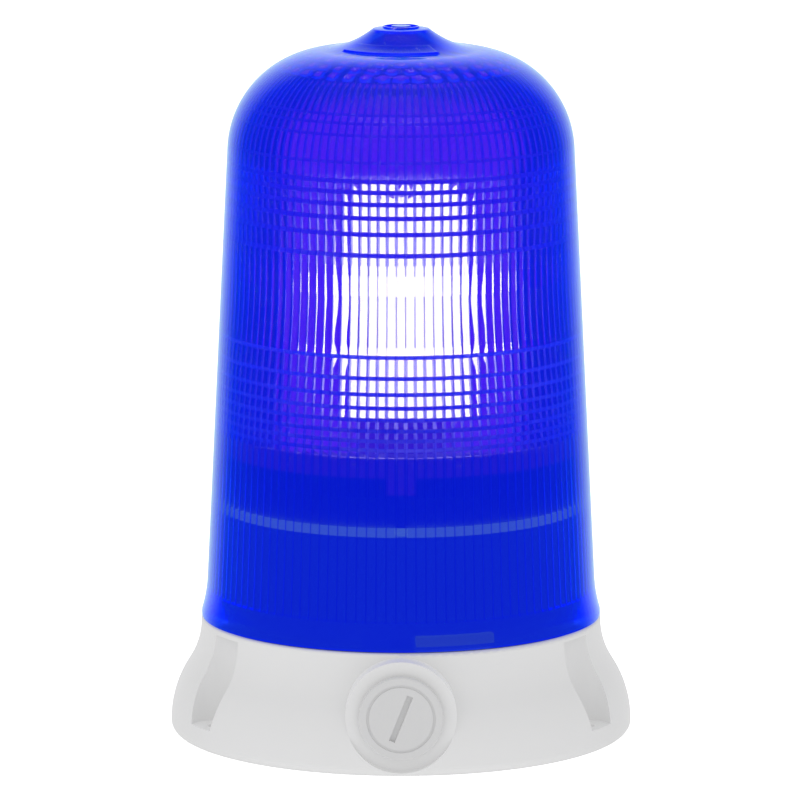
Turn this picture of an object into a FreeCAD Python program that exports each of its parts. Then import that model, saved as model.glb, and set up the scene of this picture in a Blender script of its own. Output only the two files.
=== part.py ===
import FreeCAD, Part
import math
import os

# Strobe beacon: a flared base, a blue fluted lens on a three-lug bayonet, and a xenon
# tube with its drive circuit inside.
# Millimetres. +Z is up, the origin is the centre of the base's underside, and the plugged
# cable entry faces -Y. An azimuth is in degrees from -Y and grows towards +X.

Vec = FreeCAD.Vector
UP = Vec(0, 0, 1)
OVERCUT = 1.0

# Base moulding: outer form
FLARE_STEP = 9.5
FOOT_ROUND = 3.0
FLARE_LOWER_R = 32.5
RIM_R = 61.5
RIM_ROUND = 1.0
SHOULDER_Z = 35.8
SHOULDER_T = 2.8
BASE_WALL = 2.8
FLOOR_T = 3.0
COLLAR_H = 34.4
COLLAR_WALL = 2.4

# Three fixing screws, each at the foot of an open channel
FIXING_INSET = 6.0
FIXING_HOLE_R = 2.75
FIXING_AZIMUTHS = (60.0, 180.0, 300.0)
CHANNEL_R = 8.0
CHANNEL_FLOOR_Z = 7.5
CHANNEL_TOP_LAND = 1.6
CHANNEL_WALL = 2.4

# Front cable entry with its screwed blanking plug
ENTRY_Z = 18.0
ENTRY_BOSS_R = 16.75
ENTRY_INSET = 3.0
ENTRY_BOSS_DEPTH = 13.0
THREAD_R = 9.8
THREAD_CLEAR = 0.35
PLUG_HEAD_R = 12.75
PLUG_HEAD_T = 2.1
PLUG_HEAD_ROUND = 0.6
PLUG_SHANK_L = 9.0
PLUG_BORE_R = 7.4
PLUG_WEB_T = 2.4
PLUG_RING_R = 10.4
PLUG_RING_W = 0.8
PLUG_RING_DEPTH = 0.35
COIN_SLOT_L = 14.8
COIN_SLOT_W = 1.9
COIN_SLOT_DEPTH = 1.2
COIN_SLOT_TILT = 21.7
WASHER_T = 0.9
WASHER_INSET = 0.5
WASHER_CLEAR = 0.1

# Cable grommet in the floor, and the foam gasket round the underside
GROMMET_NECK_R = 6.9
GROMMET_FLANGE_R = 9.6
GROMMET_FLANGE_T = 1.4
GROMMET_BORE_R = 3.2
GROMMET_SEAT_T = 2.6
GROMMET_RECESS = 1.7
GROMMET_BOSS_R = 12.0
SOFT_CLEAR = 0.1
GASKET_INSET = 14.0
GASKET_W = 4.0
GASKET_T = 1.5

# Lens: outer form, wall and inner optics
LENS_GAP = 0.5
LIP_INSET = 0.1
LIP_FLARE = 1.8
LIP_EDGE_H = 1.2
LIP_H = 11.6
WALL_H = 133.1
LENS_TAPER = 6.6
CROWN_R = 31.5
CROWN_SWEEP = 85.0
NIPPLE_R = 8.6
NIPPLE_RISE = 6.4
NIPPLE_EDGE = 0.4
NIPPLE_RING_R = 5.4
NIPPLE_RING_DEPTH = 0.7
NUB_R = 3.0
NUB_RISE = 0.5
LENS_WALL = 2.4
FLUTE_COUNT = 120
FLUTE_DEPTH = 0.4
FLUTE_FOOT_H = 8.7
FLUTE_CROWN_STEPS = ((16.0, 0.85), (28.0, 0.6), (39.0, 0.25))

# Bayonet: lugs inside the lens turn under ramps on the collar
BAYONET_COUNT = 3
LUG_START = 4.5
LUG_END = 28.4
LUG_FOOT_H = 0.9
LUG_T = 2.8
LUG_HEADROOM = 0.4
LUG_SIDE_CLEAR = 0.5
RAMP_OVERHANG = 2.3
RAMP_T = 3.6
RAMP_END = 66.0
RAMP_RISE = 2.0
RAMP_STEP = 8.0
STOP_WIDTH = 15.6
STOP_CLEAR = 0.6
BAYONET_WALL_CLEAR = 0.7

# Rubber seal in the shoulder under the lens
SEAL_W = 1.6
SEAL_INSET = 0.6
SEAL_DEPTH = 1.6
SEAL_CLEAR = 0.3

# Chassis plate on the collar, and the drum and reflector above it
RUN_CLEAR = 0.9
PLATE_T = 2.7
PLATE_NOTCH_W = 4.0
PLATE_NOTCH_DEPTH = 2.0
PLATE_WIRE_HOLE_R = 6.0
POST_INSET = 8.3
POST_R = 4.2
POST_WEB_T = 3.0
PILOT_R = 1.4
PILOT_DEPTH = 14.0
SCREW_R = 1.3
SCREW_HOLE_R = 1.7
SCREW_HEAD_R = 2.8
SCREW_HEAD_T = 1.9
SCREW_L = 12.0
SCREW_CROSS_W = 0.7
SCREW_CROSS_L = 3.2
SCREW_CROSS_DEPTH = 0.9
DRUM_H = 19.5
DRUM_WALL = 2.0
DRUM_LEDGE_H = 4.4
DRUM_LUG_INSET = 7.2
DRUM_LUG_R = 3.6
DRUM_LUG_H = 9.0
DRUM_SCREW_AZIMUTHS = (0.0, 120.0, 240.0)
DRUM_SCREW_L = 8.0
REFLECTOR_T = 1.6
REFLECTOR_SKIRT_T = 1.3
REFLECTOR_KEY_W = 9.0
REFLECTOR_KEY_DROP = 5.0
SNUG_CLEAR = 0.1

# Inner clear cover over the tube
COVER_INSET = 17.1
COVER_WALL = 1.6
COVER_HEADROOM = 15.1
COVER_DOME_R = 16.0
COVER_SEAT_T = 1.4
COVER_SEAT_H = 2.4

# Lamp socket, tube base and the flash tube
SOCKET_R = 16.0
SOCKET_RISE = 1.0
SOCKET_HOLE_CLEAR = 0.4
SOCKET_EAR_R = 4.0
SOCKET_EAR_SPACING = 40.0
SOCKET_EAR_T = 3.0
SOCKET_SCREW_L = 5.5
TUBE_BASE_R = 14.0
TUBE_BASE_H = 10.0
TUBE_BASE_BEVEL = 1.2
PIN_COUNT = 8
PIN_CIRCLE_R = 8.8
PIN_R = 1.1
PIN_L = 10.0
PIN_CLEAR = 0.05
TUBE_R = 3.2
TUBE_WALL = 0.9
TUBE_LEG_SPACING = 18.0
TUBE_LEG_H = 44.0
TUBE_SEAT = 4.0
TUBE_END_T = 2.0
ELECTRODE_WIRE_R = 0.6
ELECTRODE_HEAD_R = 1.7
ELECTRODE_HEAD_L = 7.0
ELECTRODE_REACH = 6.0
ELECTRODE_CLEAR = 0.05
BAND_HEIGHTS = (8.0, 20.0, 32.0)
BAND_W = 1.2
BAND_T = 0.3
TRIGGER_WIRE_R = 0.35
TRIGGER_COIL_R = 7.0
TRIGGER_COIL_H = 12.0
TRIGGER_COIL_GAP = 9.0
TRIGGER_COIL_AZIMUTH = 45.0
TRIGGER_COIL_BORE_R = 2.0
TRIGGER_COIL_BEVEL = 1.0

# Circuit board under the chassis plate, with the parts that hang from it
BOARD_CLEAR = 1.3
BOARD_T = 1.6
BOARD_DROP = 7.0
STANDOFF_R = 3.4
STANDOFF_INSET = 4.5
STANDOFF_AZIMUTHS = (0.0, 120.0, 240.0)
BOARD_SCREW_L = 7.0
CAP_R = 9.0
CAP_H = 34.0
CAP_BEVEL = 1.2
CAP_SPOTS = ((-9.5, 21.0), (9.5, 21.0))
CORE_L = 25.0
CORE_W = 13.0
CORE_H = 19.0
CORE_LEG = 4.0
CORE_SPOT = (20.5, -3.0)
WINDING_W = 20.0
WINDING_GAP = 0.4
HEATSINK_W = 22.0
HEATSINK_H = 24.0
HEATSINK_T = 2.0
HEATSINK_FIN_COUNT = 5
HEATSINK_FIN_L = 5.0
HEATSINK_FIN_T = 1.2
HEATSINK_SPOT = (15.0, -26.0)
TRANSISTOR_W = 10.0
TRANSISTOR_H = 15.0
TRANSISTOR_T = 4.4
TRANSISTOR_STAND = 3.0
LEG_W = 0.9
LEG_T = 0.5
LEG_PITCH = 2.54
FILM_L = 18.0
FILM_W = 7.5
FILM_H = 13.0
FILM_ROUND = 0.8
FILM_SPOT = (-17.5, -17.5)
RESISTOR_R = 2.3
RESISTOR_L = 9.0
RESISTOR_SPOTS = ((-3.0, -8.0), (-3.0, -14.0), (-3.0, -20.0))
VARISTOR_R = 6.0
VARISTOR_T = 4.0
VARISTOR_SPOT = (-33.0, -4.0)
FUSE_R = 2.6
FUSE_L = 20.0
FUSE_CAP_L = 5.0
FUSE_SPOT = (-18.0, -6.0)
CLIP_W = 4.0
CLIP_T = 0.5
CLIP_FOOT = 1.2
TERMINAL_WAYS = 3
TERMINAL_PITCH = 5.0
TERMINAL_D = 9.0
TERMINAL_H = 12.0
TERMINAL_SPOT = (-11.5, -32.5)
TERMINAL_HOLE_R = 1.6
TERMINAL_SCREW_R = 1.7
TERMINAL_SCREW_T = 2.0
TERMINAL_SCREW_SINK = 0.6

# Heights and radii that follow from the sizes above
FOOT_R = RIM_R + FLARE_STEP
FIXING_R = FOOT_R - FIXING_INSET
GASKET_R = FOOT_R - GASKET_INSET
ENTRY_FACE_Y = ENTRY_INSET - FOOT_R
COLLAR_TOP = SHOULDER_Z + COLLAR_H
LENS_BOTTOM = SHOULDER_Z + LENS_GAP
LIP_R = RIM_R - LIP_INSET
WALL_LOW_R = LIP_R - LIP_FLARE
LENS_SHOULDER_R = WALL_LOW_R - LENS_TAPER
WALL_LOW_Z = LENS_BOTTOM + LIP_H
WALL_TOP_Z = WALL_LOW_Z + WALL_H
DRAFT = math.degrees(math.atan2(LENS_TAPER, WALL_H))
PLATE_TOP = COLLAR_TOP + PLATE_T
DRUM_TOP = PLATE_TOP + DRUM_H
REFLECTOR_TOP = DRUM_TOP + REFLECTOR_T
SOCKET_TOP = REFLECTOR_TOP + SOCKET_RISE
TUBE_BASE_TOP = SOCKET_TOP + TUBE_BASE_H
TUBE_FOOT = TUBE_BASE_TOP - TUBE_SEAT
BOARD_TOP = COLLAR_TOP - BOARD_DROP
BOARD_UNDER = BOARD_TOP - BOARD_T
FLUTE_FOOT_Z = LENS_BOTTOM + FLUTE_FOOT_H
PLUG_SEAT_Y = ENTRY_FACE_Y - WASHER_T


def lens_outer_r(z):
    """Outer radius of the lens at a height on its straight, drafted wall."""
    return WALL_LOW_R - (z - WALL_LOW_Z) * math.tan(math.radians(DRAFT))


def flute_tip_r(z):
    """Radius of the free space inside the flutes at a height on the straight wall."""
    return lens_outer_r(z) - LENS_WALL - FLUTE_DEPTH


COLLAR_R = flute_tip_r(COLLAR_TOP) - RUN_CLEAR
COLLAR_BORE_R = COLLAR_R - COLLAR_WALL
RAMP_R = COLLAR_R + RAMP_OVERHANG
BAYONET_R = RAMP_R + BAYONET_WALL_CLEAR
LUG_INNER_R = COLLAR_R + LUG_SIDE_CLEAR
PLATE_R = flute_tip_r(PLATE_TOP) - RUN_CLEAR
REFLECTOR_R = flute_tip_r(REFLECTOR_TOP) - RUN_CLEAR
DRUM_NECK_R = REFLECTOR_R - REFLECTOR_SKIRT_T - SNUG_CLEAR
DRUM_LUG_CIRCLE_R = DRUM_NECK_R - DRUM_LUG_INSET
COVER_R = REFLECTOR_R - COVER_INSET
COVER_TOP = WALL_TOP_Z + CROWN_R - LENS_WALL - COVER_HEADROOM
POST_CIRCLE_R = COLLAR_R - POST_INSET
BOARD_R = POST_CIRCLE_R - POST_R - BOARD_CLEAR
STANDOFF_CIRCLE_R = BOARD_R - STANDOFF_INSET


def polar(radius, azimuth, z=0.0):
    """A point from its radius, its azimuth and its height."""
    turn = math.radians(azimuth - 90.0)
    return Vec(radius * math.cos(turn), radius * math.sin(turn), z)


def rod(radius, z0, z1, centre=Vec(0, 0, 0)):
    """An upright cylinder between two heights."""
    return Part.makeCylinder(radius, z1 - z0, Vec(centre.x, centre.y, z0))


def ring(outer, inner, z0, z1, centre=Vec(0, 0, 0)):
    """An upright tube between two heights."""
    return rod(outer, z0, z1, centre).cut(rod(inner, z0, z1, centre))


def block(size_x, size_y, z0, z1, centre=(0.0, 0.0)):
    """A box centred on a point in plan, between two heights."""
    corner = Vec(centre[0] - size_x / 2, centre[1] - size_y / 2, z0)
    return Part.makeBox(size_x, size_y, z1 - z0, corner)


def sector(inner, outer, z0, z1, start, end):
    """A curved block of a tube between two azimuths."""
    wedge = Part.makeCylinder(outer, z1 - z0, Vec(0, 0, z0), UP, end - start)
    wedge.rotate(Vec(0, 0, 0), UP, start - 90.0)
    return wedge.cut(rod(inner, z0 - OVERCUT, z1 + OVERCUT))


def line(start, end):
    """A straight edge in the radius-height plane."""
    return Part.makeLine(Vec(start[0], 0, start[1]), Vec(end[0], 0, end[1]))


def arc(centre, radius, start, end):
    """A circular edge in the radius-height plane, by its start and end angles."""
    points = []
    for angle in (start, (start + end) / 2, end):
        turn = math.radians(angle)
        points.append(Vec(centre[0] + radius * math.cos(turn), 0, centre[1] + radius * math.sin(turn)))
    return Part.Arc(*points).toShape()


def polyline(points):
    """Straight edges through points in the radius-height plane."""
    return [line(a, b) for a, b in zip(points[:-1], points[1:])]


def revolved(edges):
    """The solid swept by a closed outline about the upright axis."""
    face = Part.Face(Part.Wire(Part.__sortEdges__(edges)))
    return face.revolve(Vec(0, 0, 0), UP, 360)


def edge_ends(edge):
    """The two ends of an edge as radius-height pairs, in the edge's own order."""
    first, last = edge.valueAt(edge.FirstParameter), edge.valueAt(edge.LastParameter)
    return (first.x, first.z), (last.x, last.z)


def bevelled_rod(radius, z0, z1, bevel, centre=Vec(0, 0, 0)):
    """An upright cylinder with both end edges bevelled."""
    body = rod(radius, z0, z1, centre)
    return body.makeChamfer(bevel, body.Edges[:1] + body.Edges[2:])


def screw_up(centre, z_head, length):
    """A cross-head screw whose head seats on z_head and whose shank points down."""
    top = z_head + SCREW_HEAD_T
    body = rod(SCREW_HEAD_R, z_head, top, centre).fuse(rod(SCREW_R, z_head - length, z_head, centre))
    spot = (centre.x, centre.y)
    floor = top - SCREW_CROSS_DEPTH
    body = body.cut(block(SCREW_CROSS_L, SCREW_CROSS_W, floor, top, spot))
    return body.cut(block(SCREW_CROSS_W, SCREW_CROSS_L, floor, top, spot))


def screw_down(centre, z_head, length):
    """A cross-head screw whose head seats up against z_head and whose shank points up."""
    body = screw_up(centre, z_head, length)
    body.rotate(Vec(centre.x, centre.y, z_head), Vec(1, 0, 0), 180.0)
    return body


def flare_profile(offset):
    """The flared side of the base, moved inwards by an offset, as two tangent arcs."""
    rise = SHOULDER_Z - RIM_ROUND - FOOT_ROUND
    step = FOOT_R - RIM_R
    bend = 2.0 * math.degrees(math.atan2(step, rise))
    upper_r = rise / math.sin(math.radians(bend)) - FLARE_LOWER_R
    lower = arc((FOOT_R - FLARE_LOWER_R, FOOT_ROUND), FLARE_LOWER_R - offset, 0.0, bend)
    centre = (RIM_R + upper_r, SHOULDER_Z - RIM_ROUND)
    upper = arc(centre, upper_r + offset, 180.0 + bend, 180.0)
    return lower, upper


def base_blank():
    """The base moulding before it is hollowed: foot, flare, shoulder and collar."""
    lower, upper = flare_profile(0.0)
    foot = arc((FOOT_R - FOOT_ROUND, FOOT_ROUND), FOOT_ROUND, -90.0, 0.0)
    rim = arc((RIM_R - RIM_ROUND, SHOULDER_Z - RIM_ROUND), RIM_ROUND, 0.0, 90.0)
    inside = polyline([
        (RIM_R - RIM_ROUND, SHOULDER_Z),
        (COLLAR_R, SHOULDER_Z),
        (COLLAR_R, COLLAR_TOP),
        (0.0, COLLAR_TOP),
        (0.0, 0.0),
        (FOOT_R - FOOT_ROUND, 0.0),
    ])
    return revolved([foot, lower, upper, rim] + inside)


def base_hollow():
    """The wiring space inside the base and the open bore of the collar."""
    lower, upper = flare_profile(BASE_WALL)
    floor_r = edge_ends(lower)[0]
    roof_r = edge_ends(upper)[1]
    sides = polyline([
        roof_r,
        (0.0, roof_r[1]),
        (0.0, 0.0),
        (floor_r[0], 0.0),
        floor_r,
    ])
    space = revolved([lower, upper] + sides)
    space = space.common(rod(FOOT_R, FLOOR_T, SHOULDER_Z - SHOULDER_T))
    return space.fuse(rod(COLLAR_BORE_R, FLOOR_T, COLLAR_TOP + OVERCUT))


def front_rod(radius, y_front, y_back):
    """A cylinder along the cable entry's axis between two depths."""
    return Part.makeCylinder(radius, y_back - y_front, Vec(0, y_front, ENTRY_Z), Vec(0, 1, 0))


def bayonet_ramp(turn):
    """One collar lug: a level lock, then an underside that climbs to let a lens lug in."""
    top = SHOULDER_Z + LENS_GAP + LUG_FOOT_H + LUG_T + LUG_HEADROOM + RAMP_T
    start = LUG_START - STOP_CLEAR
    steps = max(2, math.ceil((LUG_END - start) / RAMP_STEP))
    azimuths = [start + (LUG_END - start) * i / steps for i in range(steps)]
    steps = max(2, math.ceil((RAMP_END - LUG_END) / RAMP_STEP))
    azimuths += [LUG_END + (RAMP_END - LUG_END) * i / steps for i in range(steps + 1)]
    sections = []
    for azimuth in azimuths:
        climb = max(0.0, (azimuth - LUG_END) / (RAMP_END - LUG_END)) * RAMP_RISE
        under = top - RAMP_T + climb
        corners = [
            polar(COLLAR_R - COLLAR_WALL / 2, azimuth + turn, under),
            polar(RAMP_R, azimuth + turn, under),
            polar(RAMP_R, azimuth + turn, top),
            polar(COLLAR_R - COLLAR_WALL / 2, azimuth + turn, top),
        ]
        sections.append(Part.makePolygon(corners + corners[:1]))
    ramp = Part.makeLoft(sections, True, True)
    stop_inner = COLLAR_R - COLLAR_WALL / 2
    stop = sector(stop_inner, RAMP_R, SHOULDER_Z, top, start - STOP_WIDTH + turn, start + turn)
    return ramp.fuse(stop)


def make_base_housing():
    """Grey moulding: flared skirt, floor, shoulder, collar, posts, entry boss and channels."""
    hollow = base_hollow()
    for azimuth in FIXING_AZIMUTHS:
        spot = polar(FIXING_R, azimuth)
        hollow = hollow.cut(rod(CHANNEL_R + CHANNEL_WALL, 0.0, SHOULDER_Z, spot))
        post = polar(POST_CIRCLE_R, azimuth)
        web = block(POST_WEB_T, COLLAR_R - POST_CIRCLE_R, 0.0, COLLAR_TOP,
                    (0.0, -(COLLAR_R + POST_CIRCLE_R) / 2))
        web.rotate(Vec(0, 0, 0), UP, azimuth)
        hollow = hollow.cut(rod(POST_R, 0.0, COLLAR_TOP + OVERCUT, post)).cut(web)
    hollow = hollow.cut(front_rod(ENTRY_BOSS_R, ENTRY_FACE_Y, ENTRY_FACE_Y + ENTRY_BOSS_DEPTH))
    hollow = hollow.cut(rod(GROMMET_BOSS_R, 0.0, GROMMET_RECESS + GROMMET_SEAT_T))
    body = base_blank()
    body = body.fuse(front_rod(ENTRY_BOSS_R, ENTRY_FACE_Y, ENTRY_FACE_Y + ENTRY_BOSS_DEPTH))
    body = body.cut(front_rod(ENTRY_BOSS_R, -FOOT_R - OVERCUT, ENTRY_FACE_Y))
    body = body.cut(hollow)
    bore_r = THREAD_R + THREAD_CLEAR
    body = body.cut(front_rod(bore_r, ENTRY_FACE_Y - OVERCUT, ENTRY_FACE_Y + ENTRY_BOSS_DEPTH + OVERCUT))
    for azimuth in FIXING_AZIMUTHS:
        spot = polar(FIXING_R, azimuth)
        post = polar(POST_CIRCLE_R, azimuth)
        body = body.cut(rod(CHANNEL_R, CHANNEL_FLOOR_Z, SHOULDER_Z - CHANNEL_TOP_LAND, spot))
        body = body.cut(rod(FIXING_HOLE_R, -OVERCUT, CHANNEL_FLOOR_Z + OVERCUT, spot))
        body = body.cut(rod(PILOT_R, COLLAR_TOP - PILOT_DEPTH, COLLAR_TOP + OVERCUT, post))
    for index in range(BAYONET_COUNT):
        body = body.fuse(bayonet_ramp(index * 360.0 / BAYONET_COUNT))
    body = body.cut(rod(GROMMET_NECK_R + SOFT_CLEAR, -OVERCUT, COLLAR_TOP))
    body = body.cut(rod(GROMMET_FLANGE_R + SOFT_CLEAR, -OVERCUT, GROMMET_RECESS))
    groove = ring(GASKET_R + GASKET_W / 2 + SOFT_CLEAR, GASKET_R - GASKET_W / 2 - SOFT_CLEAR,
                  -OVERCUT, GASKET_T + SOFT_CLEAR)
    body = body.cut(groove)
    seal_inner = BAYONET_R + SEAL_INSET
    groove = ring(seal_inner + SEAL_W + SOFT_CLEAR, seal_inner - SOFT_CLEAR,
                  SHOULDER_Z - SEAL_DEPTH, SHOULDER_Z + OVERCUT)
    return body.cut(groove)


def make_base_gasket():
    """Foam ring that seals the base to the surface that it is screwed to."""
    return ring(GASKET_R + GASKET_W / 2, GASKET_R - GASKET_W / 2, 0.0, GASKET_T)


def make_cable_grommet():
    """Rubber grommet that the cable passes through, snapped into the floor."""
    seat_top = GROMMET_RECESS + GROMMET_SEAT_T
    low = GROMMET_RECESS - GROMMET_FLANGE_T
    body = rod(GROMMET_FLANGE_R, low, GROMMET_RECESS)
    body = body.fuse(rod(GROMMET_NECK_R, GROMMET_RECESS, seat_top))
    body = body.fuse(rod(GROMMET_FLANGE_R, seat_top, seat_top + GROMMET_FLANGE_T))
    return body.cut(rod(GROMMET_BORE_R, 0.0, seat_top + GROMMET_FLANGE_T + OVERCUT))


def make_lens_seal():
    """Rubber ring in the shoulder's groove, just under the lens's edge."""
    inner = BAYONET_R + SEAL_INSET
    return ring(inner + SEAL_W, inner, SHOULDER_Z - SEAL_DEPTH, LENS_BOTTOM - SEAL_CLEAR)


def crown_centre():
    """Centre of the crown's arc, which leaves the drafted wall without a kink."""
    turn = math.radians(DRAFT)
    return LENS_SHOULDER_R - CROWN_R * math.cos(turn), WALL_TOP_Z - CROWN_R * math.sin(turn)


def crown_arc(offset, start):
    """The crown's arc from a start angle, moved inwards by an offset."""
    return arc(crown_centre(), CROWN_R - offset, start, CROWN_SWEEP)


def nipple_flare(offset):
    """The hollow curve from the crown up to the nipple, moved inwards, and its top end."""
    centre = crown_centre()
    turn = math.radians(CROWN_SWEEP)
    reach = CROWN_R - offset
    start = (centre[0] + reach * math.cos(turn), centre[1] + reach * math.sin(turn))
    outer_z = centre[1] + CROWN_R * math.sin(turn)
    end = (NIPPLE_R - offset, outer_z + NIPPLE_RISE - offset)
    chord = (end[0] - start[0], end[1] - start[1])
    length = math.hypot(*chord)
    slope = math.atan2(chord[1], -chord[0]) - math.radians(90.0 - CROWN_SWEEP)
    sag = length / 2 * math.tan(slope / 2)
    middle = Vec((start[0] + end[0]) / 2 - chord[1] / length * sag, 0,
                 (start[1] + end[1]) / 2 + chord[0] / length * sag)
    flare = Part.Arc(Vec(start[0], 0, start[1]), middle, Vec(end[0], 0, end[1])).toShape()
    return flare, end


def lens_blank():
    """The lens as a solid form: lip, drafted wall, round crown, nipple and nub."""
    flare, neck = nipple_flare(0.0)
    lip_top = LENS_BOTTOM + LIP_EDGE_H
    slope = math.tan(math.radians(DRAFT))
    bend = (WALL_LOW_R + (WALL_LOW_Z - lip_top) * slope / 2, (lip_top + WALL_LOW_Z) / 2)
    curve = Part.BezierCurve()
    curve.setPoles([Vec(LIP_R, 0, lip_top), Vec(bend[0], 0, bend[1]), Vec(WALL_LOW_R, 0, WALL_LOW_Z)])
    top = neck[1] + NIPPLE_EDGE
    dip = top - NIPPLE_RING_DEPTH
    outline = polyline([
        (0.0, LENS_BOTTOM),
        (LIP_R, LENS_BOTTOM),
        (LIP_R, lip_top),
    ])
    outline += [curve.toShape(), line((WALL_LOW_R, WALL_LOW_Z), (LENS_SHOULDER_R, WALL_TOP_Z))]
    outline += [crown_arc(0.0, DRAFT), flare]
    outline += polyline([
        neck,
        (NIPPLE_R - NIPPLE_EDGE, top),
        (NIPPLE_RING_R, top),
        (NIPPLE_RING_R - NIPPLE_EDGE, dip),
        (NUB_R, dip),
        (NUB_R, top + NUB_RISE - NIPPLE_EDGE / 2),
        (NUB_R - NIPPLE_EDGE / 2, top + NUB_RISE),
        (0.0, top + NUB_RISE),
        (0.0, LENS_BOTTOM),
    ])
    return revolved(outline)


def star(radius, depth, z):
    """A closed zigzag outline with one point for each flute."""
    points = []
    for index in range(FLUTE_COUNT):
        azimuth = index * 360.0 / FLUTE_COUNT
        points.append(polar(radius, azimuth, z))
        points.append(polar(radius - depth, azimuth + 180.0 / FLUTE_COUNT, z))
    return Part.makePolygon(points + points[:1])


def crown_point(angle, offset):
    """A radius-height pair on the crown's arc, moved inwards by an offset."""
    centre = crown_centre()
    turn = math.radians(angle)
    reach = CROWN_R - offset
    return centre[0] + reach * math.cos(turn), centre[1] + reach * math.sin(turn)


def fluted_core():
    """The space inside the flutes, along the wall and over the shoulder of the crown."""
    stars = [star(lens_outer_r(FLUTE_FOOT_Z) - LENS_WALL, FLUTE_DEPTH, FLUTE_FOOT_Z)]
    top = crown_point(DRAFT, LENS_WALL)
    stars.append(star(top[0], FLUTE_DEPTH, top[1]))
    for angle, share in FLUTE_CROWN_STEPS:
        radius, z = crown_point(angle, LENS_WALL)
        stars.append(star(radius, FLUTE_DEPTH * share, z))
    return Part.makeLoft(stars, True, True)


def dome_core():
    """The smooth space above the flutes, up into the nipple."""
    last = FLUTE_CROWN_STEPS[-1][0]
    flare, neck = nipple_flare(LENS_WALL)
    start = crown_point(last, LENS_WALL)
    outline = [crown_arc(LENS_WALL, last), flare]
    outline += polyline([neck, (0.0, neck[1]), (0.0, start[1]), start])
    return revolved(outline)


def make_lens():
    """Blue moulded lens: drafted wall, flutes inside, bayonet lugs and a nipple on top."""
    body = lens_blank()
    body = body.cut(rod(BAYONET_R, LENS_BOTTOM - OVERCUT, FLUTE_FOOT_Z))
    body = body.cut(fluted_core())
    body = body.cut(dome_core())
    low = LENS_BOTTOM + LUG_FOOT_H
    outer = BAYONET_R + SEAL_INSET
    for index in range(BAYONET_COUNT):
        turn = index * 360.0 / BAYONET_COUNT
        lug = sector(LUG_INNER_R, outer, low, low + LUG_T, LUG_START + turn, LUG_END + turn)
        body = body.fuse(lug)
    return body.removeSplitter()


def make_plug_washer():
    """Rubber sealing washer under the blanking plug's head."""
    outer = front_rod(PLUG_HEAD_R - WASHER_INSET, PLUG_SEAT_Y, ENTRY_FACE_Y)
    return outer.cut(front_rod(THREAD_R + WASHER_CLEAR, PLUG_SEAT_Y, ENTRY_FACE_Y))


def make_blanking_plug():
    """Screwed plug that closes the cable entry, with a slot for a coin."""
    front = PLUG_SEAT_Y - PLUG_HEAD_T
    back = ENTRY_FACE_Y + PLUG_SHANK_L
    head = front_rod(PLUG_HEAD_R, front, PLUG_SEAT_Y)
    edge = [e for e in head.Edges if abs(e.BoundBox.YMax - front) < PLUG_HEAD_ROUND / 2]
    head = head.makeFillet(PLUG_HEAD_ROUND, edge)
    body = head.fuse(front_rod(THREAD_R, PLUG_SEAT_Y, back))
    body = body.cut(front_rod(PLUG_BORE_R, front + PLUG_HEAD_T + PLUG_WEB_T, back))
    groove = front_rod(PLUG_RING_R, front, front + PLUG_RING_DEPTH)
    groove = groove.cut(front_rod(PLUG_RING_R - PLUG_RING_W, front, front + PLUG_RING_DEPTH))
    slot = Part.makeBox(COIN_SLOT_W, COIN_SLOT_DEPTH, COIN_SLOT_L,
                        Vec(-COIN_SLOT_W / 2, front, ENTRY_Z - COIN_SLOT_L / 2))
    slot.rotate(Vec(0, 0, ENTRY_Z), Vec(0, 1, 0), COIN_SLOT_TILT)
    return body.cut(groove).cut(slot)


def make_chassis_plate():
    """Light grey plate that closes the collar and carries the lamp and the circuit."""
    body = rod(PLATE_R, COLLAR_TOP, PLATE_TOP)
    notch = block(PLATE_NOTCH_W, 2 * PLATE_NOTCH_DEPTH, COLLAR_TOP - OVERCUT, PLATE_TOP + OVERCUT,
                  (0.0, -PLATE_R))
    body = body.cut(notch).cut(rod(PLATE_WIRE_HOLE_R, COLLAR_TOP - OVERCUT, PLATE_TOP + OVERCUT))
    for azimuth in STANDOFF_AZIMUTHS:
        spot = polar(STANDOFF_CIRCLE_R, azimuth)
        body = body.fuse(rod(STANDOFF_R, BOARD_TOP, COLLAR_TOP, spot))
        body = body.cut(rod(PILOT_R, BOARD_TOP - OVERCUT, BOARD_TOP + BOARD_SCREW_L, spot))
    holes = [polar(POST_CIRCLE_R, azimuth) for azimuth in FIXING_AZIMUTHS]
    holes += [polar(DRUM_LUG_CIRCLE_R, azimuth) for azimuth in DRUM_SCREW_AZIMUTHS]
    for spot in holes:
        body = body.cut(rod(SCREW_HOLE_R, COLLAR_TOP - OVERCUT, PLATE_TOP + OVERCUT, spot))
    for spot in socket_ears():
        body = body.cut(rod(PILOT_R, COLLAR_TOP - OVERCUT, PLATE_TOP + OVERCUT, spot))
    return body


def make_chassis_screws():
    """Three screws that hold the chassis plate down on the posts."""
    spots = [polar(POST_CIRCLE_R, azimuth) for azimuth in FIXING_AZIMUTHS]
    return Part.Compound([screw_up(spot, PLATE_TOP, SCREW_L) for spot in spots])


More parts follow.
